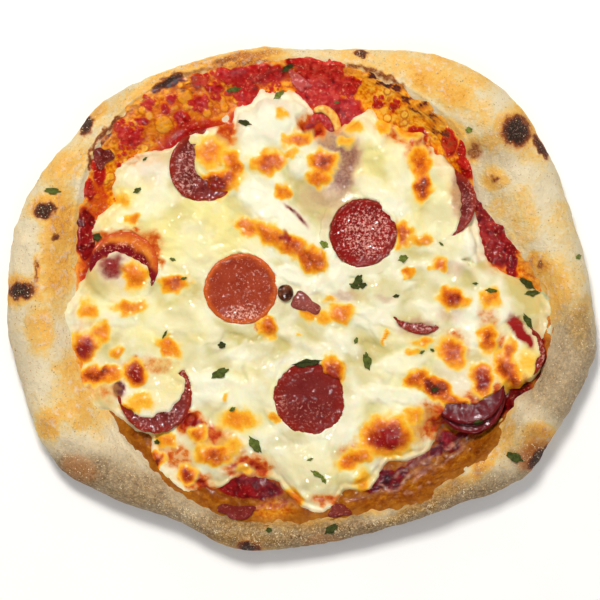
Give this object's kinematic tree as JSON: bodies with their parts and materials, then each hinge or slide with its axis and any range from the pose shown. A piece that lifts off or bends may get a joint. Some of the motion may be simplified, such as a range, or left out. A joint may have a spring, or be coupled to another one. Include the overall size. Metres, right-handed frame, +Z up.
{
  "type": "salami pinsa",
  "caption": "Whole baked pinsa: uneven oval dough with a puffed rim, tomato sauce, melted browned cheese, salami slices and herb flakes.",
  "frame": {"origin": "middle of the bounding box in plan, on the flat underside that the pinsa rests on", "axes": "+X along the long way of the oval, +Y across it, +Z up through the toppings"},
  "size_m": [0.236, 0.2016, 0.0219],
  "materials": {
    "baked_dough": "matte, floury, toasted in patches",
    "tomato_sauce": "wet gloss",
    "melted_cheese": "soft oily sheen with browned blisters",
    "salami": "oily, fat flecked",
    "olive": "glossy",
    "herbs": "dry leaf"
  },
  "bodies": {
    "root": {"dough": "baked_dough", "tomato_sauce": "tomato_sauce", "melted_cheese": "melted_cheese", "cheese_shred": "melted_cheese", "salami_slice_01": "salami", "salami_slice_02": "salami", "salami_slice_03": "salami", "salami_slice_04": "salami", "salami_slice_05": "salami", "salami_slice_06": "salami", "salami_slice_07": "salami", "salami_slice_08": "salami", "salami_slice_09": "salami", "salami_slice_10": "salami", "salami_slice_11": "salami", "salami_slice_12": "salami", "salami_piece_centre": "salami", "salami_piece_top": "salami", "salami_piece_left": "salami", "salami_piece_bottom_left": "salami", "salami_piece_bottom_right": "salami", "olive_piece": "olive"}
  },
  "joints": []
}
